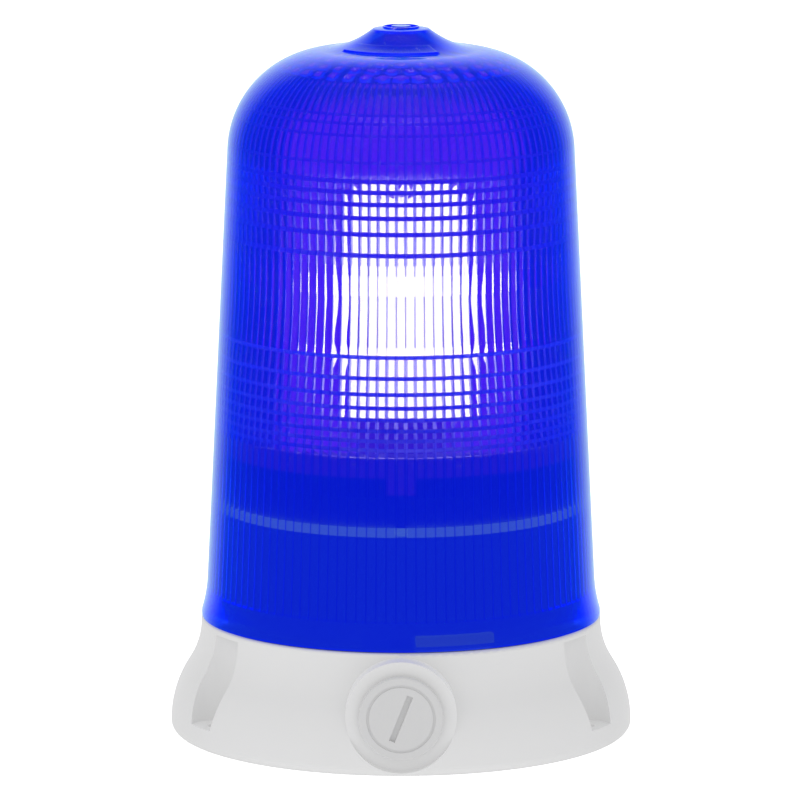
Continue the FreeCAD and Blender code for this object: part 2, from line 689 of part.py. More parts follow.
def make_lamp_drum():
    """Dark open-bottomed drum between the chassis plate and the reflector."""
    ledge = DRUM_TOP - DRUM_LEDGE_H
    body = rod(REFLECTOR_R, PLATE_TOP, ledge).fuse(rod(DRUM_NECK_R, ledge, DRUM_TOP))
    body = body.cut(rod(DRUM_NECK_R - DRUM_WALL, PLATE_TOP - OVERCUT, DRUM_TOP + OVERCUT))
    key_w = REFLECTOR_KEY_W + 2 * SNUG_CLEAR
    key_low = ledge - REFLECTOR_KEY_DROP - SNUG_CLEAR
    slot = block(key_w, REFLECTOR_R, key_low, ledge + OVERCUT, (0.0, -REFLECTOR_R))
    body = body.cut(slot.cut(rod(DRUM_NECK_R, PLATE_TOP, DRUM_TOP)))
    for azimuth in DRUM_SCREW_AZIMUTHS:
        spot = polar(DRUM_LUG_CIRCLE_R, azimuth)
        web = block(POST_WEB_T, DRUM_NECK_R - DRUM_LUG_CIRCLE_R, PLATE_TOP, PLATE_TOP + DRUM_LUG_H,
                    (0.0, -(DRUM_NECK_R + DRUM_LUG_CIRCLE_R) / 2))
        web.rotate(Vec(0, 0, 0), UP, azimuth)
        body = body.fuse(rod(DRUM_LUG_R, PLATE_TOP, PLATE_TOP + DRUM_LUG_H, spot)).fuse(web)
        body = body.cut(rod(PILOT_R, PLATE_TOP - OVERCUT, PLATE_TOP + DRUM_SCREW_L, spot))
    return body


def make_drum_screws():
    """Three screws that come up through the chassis plate into the drum."""
    length = PLATE_T + DRUM_SCREW_L - OVERCUT
    spots = [polar(DRUM_LUG_CIRCLE_R, azimuth) for azimuth in DRUM_SCREW_AZIMUTHS]
    return Part.Compound([screw_down(spot, COLLAR_TOP, length) for spot in spots])


def make_reflector_disc():
    """Shallow white cap on the drum, with a locating key at the front and a cover seat."""
    skirt_low = DRUM_TOP - DRUM_LEDGE_H
    body = rod(REFLECTOR_R, DRUM_TOP, REFLECTOR_TOP)
    skirt_inner = REFLECTOR_R - REFLECTOR_SKIRT_T
    body = body.fuse(ring(REFLECTOR_R, skirt_inner, skirt_low, DRUM_TOP))
    key = block(REFLECTOR_KEY_W, REFLECTOR_R, skirt_low - REFLECTOR_KEY_DROP, DRUM_TOP, (0.0, -REFLECTOR_R))
    key = key.common(ring(REFLECTOR_R, skirt_inner, skirt_low - REFLECTOR_KEY_DROP, DRUM_TOP))
    body = body.fuse(key)
    seat_inner = COVER_R + SNUG_CLEAR
    body = body.fuse(ring(seat_inner + COVER_SEAT_T, seat_inner, REFLECTOR_TOP, REFLECTOR_TOP + COVER_SEAT_H))
    hole_r = SOCKET_R + SOCKET_HOLE_CLEAR
    return body.cut(rod(hole_r, DRUM_TOP - OVERCUT, REFLECTOR_TOP + OVERCUT)).removeSplitter()


def cover_form(offset):
    """The domed outline of the clear cover, moved inwards by an offset."""
    top = COVER_TOP - offset
    round_r = COVER_DOME_R - offset
    side_r = COVER_R - offset
    corner = (side_r - round_r, top - round_r)
    outline = polyline([
        (0.0, top),
        (0.0, REFLECTOR_TOP),
        (side_r, REFLECTOR_TOP),
        (side_r, corner[1]),
    ])
    outline += [arc(corner, round_r, 0.0, 90.0), line((corner[0], top), (0.0, top))]
    return revolved(outline)


def make_inner_cover():
    """Clear domed cover that guards the flash tube."""
    return cover_form(0.0).cut(cover_form(COVER_WALL))


def socket_ears():
    """The two screw positions of the lamp socket."""
    return [Vec(side * SOCKET_EAR_SPACING / 2, 0, 0) for side in (-1, 1)]


def pin_spots():
    """Centres of the tube base's pins."""
    return [polar(PIN_CIRCLE_R, index * 360.0 / PIN_COUNT) for index in range(PIN_COUNT)]


def make_lamp_socket():
    """Socket screwed to the chassis plate, which the tube's base plugs into."""
    body = rod(SOCKET_R, PLATE_TOP, SOCKET_TOP)
    ear_top = PLATE_TOP + SOCKET_EAR_T
    body = body.fuse(block(SOCKET_EAR_SPACING, 2 * SOCKET_EAR_R, PLATE_TOP, ear_top))
    for spot in socket_ears():
        body = body.fuse(rod(SOCKET_EAR_R, PLATE_TOP, ear_top, spot))
        body = body.cut(rod(SCREW_HOLE_R, PLATE_TOP - OVERCUT, ear_top + OVERCUT, spot))
    for spot in pin_spots():
        body = body.cut(rod(PIN_R + PIN_CLEAR, SOCKET_TOP - PIN_L - OVERCUT, SOCKET_TOP + OVERCUT, spot))
    return body.removeSplitter()


def make_socket_screws():
    """Two screws that hold the lamp socket down."""
    head_z = PLATE_TOP + SOCKET_EAR_T
    return Part.Compound([screw_up(spot, head_z, SOCKET_SCREW_L) for spot in socket_ears()])


def tube_spots():
    """Centres of the flash tube's two legs."""
    return [Vec(side * TUBE_LEG_SPACING / 2, 0, 0) for side in (-1, 1)]


def make_tube_base():
    """Round moulded base of the plug-in flash tube."""
    body = bevelled_rod(TUBE_BASE_R, SOCKET_TOP, TUBE_BASE_TOP, TUBE_BASE_BEVEL)
    for spot in tube_spots():
        body = body.cut(rod(TUBE_R + SNUG_CLEAR, TUBE_FOOT, TUBE_BASE_TOP + OVERCUT, spot))
        body = body.cut(rod(ELECTRODE_WIRE_R + ELECTRODE_CLEAR, TUBE_FOOT - ELECTRODE_REACH / 2,
                            TUBE_BASE_TOP, spot))
    return body


def make_base_pins():
    """Contact pins under the tube's base."""
    pins = [rod(PIN_R, SOCKET_TOP - PIN_L, SOCKET_TOP, spot) for spot in pin_spots()]
    return Part.Compound(pins)


def tube_form(radius, foot):
    """A U of round section standing on its two ends."""
    bend_z = TUBE_FOOT + TUBE_LEG_H
    half = TUBE_LEG_SPACING / 2
    bend = Part.makeTorus(half, radius, Vec(0, 0, bend_z), Vec(0, 1, 0), 0, 360, 360)
    body = bend.common(block(4 * half, 4 * half, bend_z, bend_z + 2 * half))
    for spot in tube_spots():
        body = body.fuse(rod(radius, foot, bend_z, spot))
    return body.removeSplitter()


def make_flash_tube():
    """U-shaped xenon tube of clear glass, sealed round its electrode wires."""
    body = tube_form(TUBE_R, TUBE_FOOT).cut(tube_form(TUBE_R - TUBE_WALL, TUBE_FOOT + TUBE_END_T))
    for spot in tube_spots():
        body = body.cut(rod(ELECTRODE_WIRE_R + ELECTRODE_CLEAR, TUBE_FOOT - OVERCUT,
                            TUBE_FOOT + TUBE_END_T + OVERCUT, spot))
    return body


def make_tube_electrodes():
    """Electrode heads inside the ends of the tube, on wires that go down into its base."""
    head_low = TUBE_FOOT + ELECTRODE_REACH
    parts = []
    for spot in tube_spots():
        wire = rod(ELECTRODE_WIRE_R, TUBE_FOOT - ELECTRODE_REACH / 2, head_low, spot)
        head = rod(ELECTRODE_HEAD_R, head_low, head_low + ELECTRODE_HEAD_L, spot)
        parts.append(wire.fuse(head))
    return Part.Compound(parts)


def make_trigger_bands():
    """Foil bands round each leg of the tube, joined by the wire that fires it."""
    inner = TUBE_R + ELECTRODE_CLEAR
    parts = []
    for side, spot in zip((-1, 1), tube_spots()):
        wire_x = spot.x + side * (inner + BAND_T + TRIGGER_WIRE_R / 2)
        top = TUBE_BASE_TOP + BAND_HEIGHTS[-1] + BAND_W
        body = rod(TRIGGER_WIRE_R, TUBE_BASE_TOP, top, Vec(wire_x, 0, 0))
        for height in BAND_HEIGHTS:
            low = TUBE_BASE_TOP + height
            body = body.fuse(ring(inner + BAND_T, inner, low, low + BAND_W, spot))
        parts.append(body)
    return Part.Compound(parts)


def make_trigger_transformer():
    """Small round coil beside the socket that makes the tube's trigger pulse."""
    reach = SOCKET_R + TRIGGER_COIL_GAP + TRIGGER_COIL_R
    spot = polar(reach, TRIGGER_COIL_AZIMUTH)
    top = PLATE_TOP + TRIGGER_COIL_H
    body = bevelled_rod(TRIGGER_COIL_R, PLATE_TOP, top, TRIGGER_COIL_BEVEL, spot)
    return body.cut(rod(TRIGGER_COIL_BORE_R, PLATE_TOP + TRIGGER_COIL_H / 2, top + OVERCUT, spot))


def make_circuit_board():
    """Round board screwed under the chassis plate."""
    body = rod(BOARD_R, BOARD_UNDER, BOARD_TOP)
    for azimuth in STANDOFF_AZIMUTHS:
        spot = polar(STANDOFF_CIRCLE_R, azimuth)
        body = body.cut(rod(SCREW_HOLE_R, BOARD_UNDER - OVERCUT, BOARD_TOP + OVERCUT, spot))
    return body


def make_board_screws():
    """Three screws that hold the board to the standoffs."""
    spots = [polar(STANDOFF_CIRCLE_R, azimuth) for azimuth in STANDOFF_AZIMUTHS]
    return Part.Compound([screw_down(spot, BOARD_UNDER, BOARD_SCREW_L) for spot in spots])


def hanging(body_h):
    """The two heights of a part that hangs from the underside of the board."""
    return BOARD_UNDER - body_h, BOARD_UNDER


def make_main_capacitors():
    """Two round electrolytic capacitors that store the energy of a flash."""
    low, high = hanging(CAP_H)
    cans = [bevelled_rod(CAP_R, low, high, CAP_BEVEL, Vec(x, y, 0)) for x, y in CAP_SPOTS]
    return Part.Compound(cans)


def make_transformer_core():
    """Ferrite core of the inverter transformer: two side legs, a middle leg and two yokes."""
    low, high = hanging(CORE_H)
    body = block(CORE_L, CORE_W, low, high, CORE_SPOT)
    window_l = (CORE_L - 2 * CORE_LEG - 2 * CORE_LEG) / 2
    for side in (-1, 1):
        centre = (CORE_SPOT[0] + side * (CORE_LEG + window_l / 2), CORE_SPOT[1])
        body = body.cut(block(window_l, CORE_W + OVERCUT, low + CORE_LEG, high - CORE_LEG, centre))
    return body


def make_transformer_winding():
    """Wound bobbin round the middle leg of the core."""
    low, high = hanging(CORE_H)
    low += CORE_LEG + WINDING_GAP
    high -= CORE_LEG + WINDING_GAP
    outer_l = CORE_L - 2 * CORE_LEG - 2 * WINDING_GAP
    body = block(outer_l, WINDING_W, low, high, CORE_SPOT)
    inner_l = 2 * CORE_LEG + 2 * WINDING_GAP
    return body.cut(block(inner_l, CORE_W + 2 * WINDING_GAP, low - OVERCUT, high + OVERCUT, CORE_SPOT))


def make_heatsink():
    """Finned aluminium plate that cools the transistor."""
    low, high = hanging(HEATSINK_H)
    x, y = HEATSINK_SPOT
    body = block(HEATSINK_W, HEATSINK_T, low, high, HEATSINK_SPOT)
    pitch = (HEATSINK_W - HEATSINK_FIN_T) / (HEATSINK_FIN_COUNT - 1)
    fin_y = y - HEATSINK_T / 2 - HEATSINK_FIN_L / 2
    for index in range(HEATSINK_FIN_COUNT):
        fin_x = x + (index - (HEATSINK_FIN_COUNT - 1) / 2) * pitch
        body = body.fuse(block(HEATSINK_FIN_T, HEATSINK_FIN_L, low, high, (fin_x, fin_y)))
    return body.removeSplitter()


def make_power_transistor():
    """Flat transistor against the heatsink, on three legs."""
    high = BOARD_UNDER - TRANSISTOR_STAND
    x, y = HEATSINK_SPOT
    back = y + HEATSINK_T / 2
    spot = (x, back + TRANSISTOR_T / 2)
    body = block(TRANSISTOR_W, TRANSISTOR_T, high - TRANSISTOR_H, high, spot)
    for index in (-1, 0, 1):
        leg = (x + index * LEG_PITCH, spot[1])
        body = body.fuse(block(LEG_W, LEG_T, high, BOARD_UNDER, leg))
    return body


def make_film_capacitor():
    """Box-shaped film capacitor that feeds the trigger coil."""
    low, high = hanging(FILM_H)
    body = block(FILM_L, FILM_W, low, high, FILM_SPOT)
    return body.makeFillet(FILM_ROUND, body.Edges)


def make_resistors():
    """Three axial resistors lying against the board."""
    parts = []
    for x, y in RESISTOR_SPOTS:
        start = Vec(x - RESISTOR_L / 2, y, BOARD_UNDER - RESISTOR_R)
        parts.append(Part.makeCylinder(RESISTOR_R, RESISTOR_L, start, Vec(1, 0, 0)))
    return Part.Compound(parts)


def make_varistor():
    """Flat round surge absorber standing on the board."""
    x, y = VARISTOR_SPOT
    start = Vec(x - VARISTOR_T / 2, y, BOARD_UNDER - VARISTOR_R)
    return Part.makeCylinder(VARISTOR_R, VARISTOR_T, start, Vec(1, 0, 0))


def fuse_axis_z():
    """Height of the fuse's axis, under the clips' feet."""
    return BOARD_UNDER - CLIP_T - CLIP_FOOT - FUSE_R


def make_fuse():
    """Glass cartridge fuse with slightly wider metal caps."""
    x, y = FUSE_SPOT
    start = Vec(x - FUSE_L / 2, y, fuse_axis_z())
    body = Part.makeCylinder(FUSE_R - CLIP_T / 2, FUSE_L, start, Vec(1, 0, 0))
    for shift in (0.0, FUSE_L - FUSE_CAP_L):
        cap = Part.makeCylinder(FUSE_R, FUSE_CAP_L, start + Vec(shift, 0, 0), Vec(1, 0, 0))
        body = body.fuse(cap)
    return body.removeSplitter()


def make_fuse_clips():
    """Two sprung clips that hold the fuse's caps."""
    x, y = FUSE_SPOT
    axis_z = fuse_axis_z()
    parts = []
    for side in (-1, 1):
        centre_x = x + side * (FUSE_L - FUSE_CAP_L) / 2
        start = Vec(centre_x - CLIP_W / 2, y, axis_z)
        grip = Part.makeCylinder(FUSE_R + CLIP_T, CLIP_W, start, Vec(1, 0, 0))
        foot = block(CLIP_W, FUSE_R, axis_z, BOARD_UNDER, (centre_x, y))
        body = grip.fuse(foot)
        body = body.cut(Part.makeCylinder(FUSE_R, CLIP_W, start, Vec(1, 0, 0)))
        mouth_top = axis_z - FUSE_R / 2
        mouth = block(CLIP_W, 2 * FUSE_R + 2 * CLIP_T, axis_z - 2 * FUSE_R, mouth_top, (centre_x, y))
        parts.append(body.cut(mouth))
    return Part.Compound(parts)


def terminal_spots():
    """Centres of the terminal block's ways."""
    x, y = TERMINAL_SPOT
    middle = (TERMINAL_WAYS - 1) / 2
    return [(x + (index - middle) * TERMINAL_PITCH, y) for index in range(TERMINAL_WAYS)]


def make_terminal_block():
    """Screw terminal block for the supply leads, with its wire holes facing the entry."""
    low, high = hanging(TERMINAL_H)
    body = block(TERMINAL_WAYS * TERMINAL_PITCH, TERMINAL_D, low, high, TERMINAL_SPOT)
    for x, y in terminal_spots():
        start = Vec(x, y - TERMINAL_D, (low + high) / 2)
        body = body.cut(Part.makeCylinder(TERMINAL_HOLE_R, TERMINAL_D, start, Vec(0, 1, 0)))
        body = body.cut(rod(TERMINAL_SCREW_R + SNUG_CLEAR, low - OVERCUT,
                            low + TERMINAL_SCREW_SINK + TERMINAL_SCREW_T, Vec(x, y, 0)))
    return body


def make_terminal_screws():
    """Clamping screws of the terminal block."""
    low = hanging(TERMINAL_H)[0] + TERMINAL_SCREW_SINK
    parts = []
    for spot in terminal_spots():
        body = rod(TERMINAL_SCREW_R, low, low + TERMINAL_SCREW_T, Vec(spot[0], spot[1], 0))
        slot = block(2 * TERMINAL_SCREW_R, SCREW_CROSS_W, low, low + SCREW_CROSS_DEPTH, spot)
        parts.append(body.cut(slot))
    return Part.Compound(parts)


NODES = {
    "base_housing": make_base_housing,
    "base_gasket": make_base_gasket,
    "cable_grommet": make_cable_grommet,
    "lens_seal": make_lens_seal,
    "lens": make_lens,
    "plug_washer": make_plug_washer,
    "blanking_plug": make_blanking_plug,
    "chassis_plate": make_chassis_plate,
    "chassis_screws": make_chassis_screws,
    "lamp_drum": make_lamp_drum,
    "drum_screws": make_drum_screws,
    "reflector_disc": make_reflector_disc,
    "inner_cover": make_inner_cover,
    "lamp_socket": make_lamp_socket,
    "socket_screws": make_socket_screws,
    "tube_base": make_tube_base,
    "base_pins": make_base_pins,
    "flash_tube": make_flash_tube,
    "tube_electrodes": make_tube_electrodes,
    "trigger_bands": make_trigger_bands,
    "trigger_transformer": make_trigger_transformer,
    "circuit_board": make_circuit_board,
    "board_screws": make_board_screws,
    "main_capacitors": make_main_capacitors,
    "transformer_core": make_transformer_core,
    "transformer_winding": make_transformer_winding,
    "heatsink": make_heatsink,
    "power_transistor": make_power_transistor,
    "film_capacitor": make_film_capacitor,
    "resistors": make_resistors,
    "varistor": make_varistor,
    "fuse": make_fuse,
    "fuse_clips": make_fuse_clips,
    "terminal_block": make_terminal_block,
    "terminal_screws": make_terminal_screws,
}


def main():
    """Builds each piece and writes it to its own file."""
    os.makedirs("parts", exist_ok=True)
    for name, make in NODES.items():
        shape = make()
        shape.exportStep("parts/%s.step" % name)
        box = shape.BoundBox
        print("%-20s solids %d  valid %s  x %.1f..%.1f  y %.1f..%.1f  z %.1f..%.1f" % (
            name, len(shape.Solids), shape.isValid(),
            box.XMin, box.XMax, box.YMin, box.YMax, box.ZMin, box.ZMax))


main()
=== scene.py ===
import math

import bpy
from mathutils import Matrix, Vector


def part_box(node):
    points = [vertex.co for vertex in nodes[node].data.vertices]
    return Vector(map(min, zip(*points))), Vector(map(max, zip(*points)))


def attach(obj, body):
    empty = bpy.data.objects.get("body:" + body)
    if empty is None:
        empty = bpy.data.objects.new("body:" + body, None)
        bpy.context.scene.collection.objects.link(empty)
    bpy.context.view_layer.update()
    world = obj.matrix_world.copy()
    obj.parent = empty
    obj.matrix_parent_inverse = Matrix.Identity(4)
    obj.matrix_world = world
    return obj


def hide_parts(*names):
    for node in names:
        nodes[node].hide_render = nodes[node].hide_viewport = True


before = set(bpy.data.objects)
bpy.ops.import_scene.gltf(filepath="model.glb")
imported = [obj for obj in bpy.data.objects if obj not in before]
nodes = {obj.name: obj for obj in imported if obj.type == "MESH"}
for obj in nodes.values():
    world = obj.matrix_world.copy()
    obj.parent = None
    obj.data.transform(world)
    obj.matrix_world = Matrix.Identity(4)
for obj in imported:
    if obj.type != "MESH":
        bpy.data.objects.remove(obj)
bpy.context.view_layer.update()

MM = 0.001

# Camera: its place is worked out from the photograph's perspective
CAMERA_DISTANCE = 2.1
CAMERA_HEIGHT = 0.468
CAMERA_PITCH = 9.8726
CAMERA_REACH = 50.0
FRAME_PIXELS = 800.0
FOCAL_PIXELS = 6946.0
SENSOR_MM = 36.0
AXIS_SHIFT_PIXELS = 1.0

# Floor, softbox, and the white room's brightness in reflections by direction
FLOOR_R = 4.0
FLOOR_SIDES = 96
SOFTBOX_PLACE = (-1.6, -1.2, 1.4)
SOFTBOX_AIM = (0.0, 0.0, 0.06)
SOFTBOX_SIZE = 1.4
SOFTBOX_WATTS = 5.0
ROOM_BACK = (0.6, 1.1)
ROOM_TOP = (0.6, 1.0)
ROOM_FRONT_SHINE = 0.02
ROOM_TOP_SHINE = 0.12

# Lens, outside: the form repeats the moulded solid's. Angles are in degrees, over the crown from its foot
# upwards, and round the axis from the front towards the right.
LENS_LOW, LENS_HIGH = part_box("lens")
LIP_R = LENS_HIGH.x
LIP_EDGE_H = 1.2 * MM
LIP_FLARE = 1.8 * MM
LIP_H = 11.6 * MM
LIP_ROWS = 8
WALL_H = 133.1 * MM
WALL_ROWS = 8
LENS_TAPER = 6.6 * MM
LENS_WALL = 2.4 * MM
SKIRT_BORE_R = 57.8 * MM
CROWN_R = 31.5 * MM
CROWN_SWEEP = 85.0
CROWN_ROWS = 96
LENS_SHARP_ANGLE = 25.0

# Nipple: its flare, its flat top with a sunk ring, and the nub in the middle
NIPPLE_R = 8.6 * MM
NIPPLE_RISE = 6.4 * MM
NIPPLE_EDGE = 0.4 * MM
NIPPLE_RING_R = 5.4 * MM
NIPPLE_RING_DEPTH = 0.7 * MM
NUB_R = 3.0 * MM
NUB_RISE = 0.5 * MM
DOME_R = 5.7 * MM
FLARE_ROWS = 48
INNER_FLARE_ROWS = 6

# Bare raised plate that curves round the nipple: its two radii, its two ends, rise and bevel
PLATE_INNER_R = 14.8 * MM
PLATE_OUTER_R = 20.6 * MM
PLATE_START = -61.0
PLATE_END = 35.0
PLATE_RISE = 0.6 * MM
PLATE_BEVEL = 0.4 * MM

# Flutes: each cut gives its place across the flute, from -1 to 1, and its share of the depth
FLUTE_COUNT = 120
FLUTE_DEPTH = 0.18 * MM
FLUTE_CUTS = ((-1.0, 0.0), (-0.85, 0.6), (-0.6, 0.95), (0.6, 0.95), (0.85, 0.6))
FLUTE_TOP = 58.0
FLUTE_TOP_ROUND = 2.5
FLUTE_TOP_FADE = 3.0
FLUTE_FOOT_H = 8.7 * MM
FLUTE_FOOT_SHARE = 0.6
FOOT_ROWS = 4
FOOT_STEP_H = 0.7 * MM

# Matt skin, painted darker as the shade of the grid lines: where it begins across a flute, from the flute's
# middle (0) to its edge (1)
WIDE_GROOVE = 0.6
NARROW_GROOVE = 0.85
NO_GROOVE = 1.0
WHOLE_ROW = -1.0

# Heights in millimetres between which the flutes are left without the darker painted shade of the matt skin,
# so that the flash's glare reads as solid bright bands
GLARE_BANDS = ((144.0, 150.0), (126.0, 128.5))

# Stepped rings of the inner wall, closer together the further they stand from the focus. Their crests
# stand in from the plain wall by a share of the step, and a riser joins each ring to the next.
FOCUS_Z = 139.85 * MM
FIRST_RING_R = 15.25 * MM
RING_STEP = 1.0 * MM
RING_CREST_SHARE = 0.6
RING_COUNT = 9
RING_ROWS = 5
RISER_H = 1.3 * MM

# Inner rows over the crown: close where the beads stand and coarser below them, with four matt rings painted
# darker as shade lines
CROWN_INNER_ROWS = 150
COARSE_BELOW = 45.0
COARSE_EVERY = 6
CROWN_RINGS = (34.6, 29.2, 22.1, 6.5)
CROWN_RING_HALF = 0.9

# Beads under the crown: the angle of each row, how many beads it has, and its shift in bead gaps
BEAD_R = 1.8 * MM
BEAD_RISE = 1.3 * MM
BEAD_FREE_R = 20.0 * MM
BEAD_ROWS = ((84.0, 24, 0.5), (77.0, 30, 0.0), (69.0, 36, 0.5), (61.5, 42, 0.0))

# Bayonet lugs: they stop a hair short of the skirt's bore, so that the two surfaces don't cross
LUG_COUNT = 3
LUG_INNER_R = 55.0 * MM
LUG_START = 4.5
LUG_END = 28.4
LUG_LOW = 0.9 * MM
LUG_T = 2.8 * MM
LUG_SKIN = 0.06 * MM
LUG_STEPS = 24

# Flash: a bright column round each leg of the tube; each swell gives its height, rise and spread
FLASH_LOW_Z = 106.0 * MM
FLASH_HIGH_Z = 155.4 * MM
FLASH_R = 10.3 * MM
FLASH_SHIFT = 2.0 * MM
FLASH_SWELLS = ((134.0, 3.0, 4.5), (120.5, 3.0, 1.6))
FLASH_SIDES = 24
FLASH_ROWS = 64
FLASH_POWER = 220.0
FLASH_FLICKER = 0.2

# Pattern sizes in millimetres
CLOUD_MM = 28.0
FLOW_MM = 40.0
HAZE_MM = 12.0
FLICKER_MM = 6.0

WALL_LOW_Z = LENS_LOW.z + LIP_H
WALL_LOW_R = LIP_R - LIP_FLARE
WALL_TOP_Z = WALL_LOW_Z + WALL_H
SHOULDER_R = WALL_LOW_R - LENS_TAPER
DRAFT = math.atan2(LENS_TAPER, WALL_H)
CROWN_CENTRE_R = SHOULDER_R - CROWN_R * math.cos(DRAFT)
CROWN_CENTRE_Z = WALL_TOP_Z - CROWN_R * math.sin(DRAFT)


def linear(hex_colour):
    """Turns an sRGB hex colour into linear red, green, blue and alpha."""
    parts = [int(hex_colour[i:i + 2], 16) / 255.0 for i in (1, 3, 5)]
    bent = [p / 12.92 if p <= 0.04045 else ((p + 0.055) / 1.055) ** 2.4 for p in parts]
    return (bent[0], bent[1], bent[2], 1.0)


def add(tree, kind, settings=None, inputs=None, links=None):
    """Adds a node, sets its properties and socket values, and links its inputs."""
    node = tree.nodes.new(kind)
    for key, value in (settings or {}).items():
        setattr(node, key, value)
    for key, value in (inputs or {}).items():
        node.inputs[key].default_value = value
    for key, source in (links or {}).items():
        tree.links.new(source, node.inputs[key])
    return node


def new_material(name):
    """An empty node material, its tree and its output node."""
    material = bpy.data.materials.new(name)
    material.use_nodes = True
    tree = material.node_tree
    tree.nodes.clear()
    output = add(tree, "ShaderNodeOutputMaterial")
    return material, tree, output


def dress(node_name, material):
    """Gives a carried-over node its finish."""
    obj = nodes[node_name]
    obj.data.materials.clear()
    obj.data.materials.append(material)


def moulded_plastic(name, colour, darker, roughness, grain_mm, relief=0.02, glow_colour="#ffffff", glow=0.0):
    """Moulded surface: faint clouds of tone, and a grain drawn coarser than the mould's real one so that it
    shows. A painted glow, given off though none of these parts is a lamp, stands in for the flash's light
    caught in the plastic, and on the housing and plug for fill light that evens out their shade."""
    material, tree, output = new_material(name)
    place = add(tree, "ShaderNodeTexCoord")
    cloud = add(tree, "ShaderNodeTexNoise", inputs={"Scale": 1.0 / (CLOUD_MM * MM), "Detail": 3.0},
                links={"Vector": place.outputs["Object"]})
    tone = add(tree, "ShaderNodeMix", {"data_type": "RGBA"}, {6: linear(darker), 7: linear(colour)},
               {0: cloud.outputs["Fac"]})
    grain = add(tree, "ShaderNodeTexNoise", inputs={"Scale": 1.0 / (grain_mm * MM), "Detail": 4.0},
                links={"Vector": place.outputs["Object"]})
    gloss = add(tree, "ShaderNodeMapRange", inputs={"To Min": roughness - 0.06, "To Max": roughness + 0.06},
                links={"Value": grain.outputs["Fac"]})
    bump = add(tree, "ShaderNodeBump", inputs={"Strength": 0.35, "Distance": relief * MM},
               links={"Height": grain.outputs["Fac"]})
    shader = add(tree, "ShaderNodeBsdfPrincipled",
                 inputs={"IOR": 1.53, "Emission Color": linear(glow_colour), "Emission Strength": glow},
                 links={"Base Color": tone.outputs[2], "Roughness": gloss.outputs["Result"],
                        "Normal": bump.outputs["Normal"]})
    tree.links.new(shader.outputs["BSDF"], output.inputs["Surface"])
    return material


def metal_finish(name, colour, darker, roughness, scratch_mm):
    """Plated or drawn metal: tone and gloss vary along scratches, drawn coarser than real ones."""
    material, tree, output = new_material(name)
    place = add(tree, "ShaderNodeTexCoord")
    scratch = add(tree, "ShaderNodeTexNoise", inputs={"Scale": 1.0 / (scratch_mm * MM), "Detail": 5.0},
                  links={"Vector": place.outputs["Object"]})
    tone = add(tree, "ShaderNodeMix", {"data_type": "RGBA"}, {6: linear(darker), 7: linear(colour)},
               {0: scratch.outputs["Fac"]})
    gloss = add(tree, "ShaderNodeMapRange", inputs={"To Min": roughness - 0.08, "To Max": roughness + 0.12},
                links={"Value": scratch.outputs["Fac"]})
    shader = add(tree, "ShaderNodeBsdfPrincipled", inputs={"Metallic": 1.0},
                 links={"Base Color": tone.outputs[2], "Roughness": gloss.outputs["Result"]})
    tree.links.new(shader.outputs["BSDF"], output.inputs["Surface"])
    return material


def clear_finish(name, colour, roughness, ior, glow_colour="#ffffff", glow=0.0, shine=1.0):
    """Clear glass or plastic with a trace of haze, and a painted glow, given off though it is no lamp, for
    the flash setting it aglow.
    """
    material, tree, output = new_material(name)
    place = add(tree, "ShaderNodeTexCoord")
    haze = add(tree, "ShaderNodeTexNoise", inputs={"Scale": 1.0 / (HAZE_MM * MM), "Detail": 2.0},
               links={"Vector": place.outputs["Object"]})
    gloss = add(tree, "ShaderNodeMapRange", inputs={"To Min": roughness, "To Max": roughness + 0.03},
                links={"Value": haze.outputs["Fac"]})
    shader = add(tree, "ShaderNodeBsdfPrincipled",
                 inputs={"Base Color": linear(colour), "IOR": ior, "Transmission Weight": 1.0,
                         "Specular Tint": (shine, shine, shine, 1.0),
                         "Emission Color": linear(glow_colour), "Emission Strength": glow},
                 links={"Roughness": gloss.outputs["Result"]})
    tree.links.new(shader.outputs["BSDF"], output.inputs["Surface"])
    return material


def blue_lens_plastic(name, colour, roughness, glow_colour, glow):
    """Transparent blue polycarbonate: deep colour, a glossy or matt skin with faint flow marks in its gloss,
    a greener blue where it is seen at a slant, and a painted glow, given off by the plastic though it is no
    lamp, that stands in for the flash's light caught in it."""
    material, tree, output = new_material(name)
    place = add(tree, "ShaderNodeTexCoord")
    flow = add(tree, "ShaderNodeTexNoise", inputs={"Scale": 1.0 / (FLOW_MM * MM), "Detail": 2.0},
               links={"Vector": place.outputs["Object"]})
    gloss = add(tree, "ShaderNodeMapRange", inputs={"To Min": roughness, "To Max": roughness + 0.02},
                links={"Value": flow.outputs["Fac"]})
    shader = add(tree, "ShaderNodeBsdfPrincipled",
                 inputs={"Base Color": linear(colour), "IOR": 1.585, "Transmission Weight": 1.0,
                         "Emission Color": linear(glow_colour), "Emission Strength": glow,
                         "Sheen Weight": 1.0, "Sheen Roughness": 0.3, "Sheen Tint": linear("#009500")},
                 links={"Roughness": gloss.outputs["Result"]})
    tree.links.new(shader.outputs["BSDF"], output.inputs["Surface"])
    return material


def plasma_light():
    """Xenon discharge: weighted against the lens's blue, so that its glare reads white through it."""
    material, tree, output = new_material("xenon_discharge")
    place = add(tree, "ShaderNodeTexCoord")
    flicker = add(tree, "ShaderNodeTexNoise", inputs={"Scale": 1.0 / (FLICKER_MM * MM), "Detail": 1.0},
                  links={"Vector": place.outputs["Object"]})
    power = add(tree, "ShaderNodeMapRange",
                inputs={"To Min": FLASH_POWER * (1.0 - FLASH_FLICKER),
                        "To Max": FLASH_POWER * (1.0 + FLASH_FLICKER)},
                links={"Value": flicker.outputs["Fac"]})
    shader = add(tree, "ShaderNodeEmission", inputs={"Color": linear("#ff7c22")},
                 links={"Strength": power.outputs["Result"]})
    tree.links.new(shader.outputs["Emission"], output.inputs["Surface"])
    return material


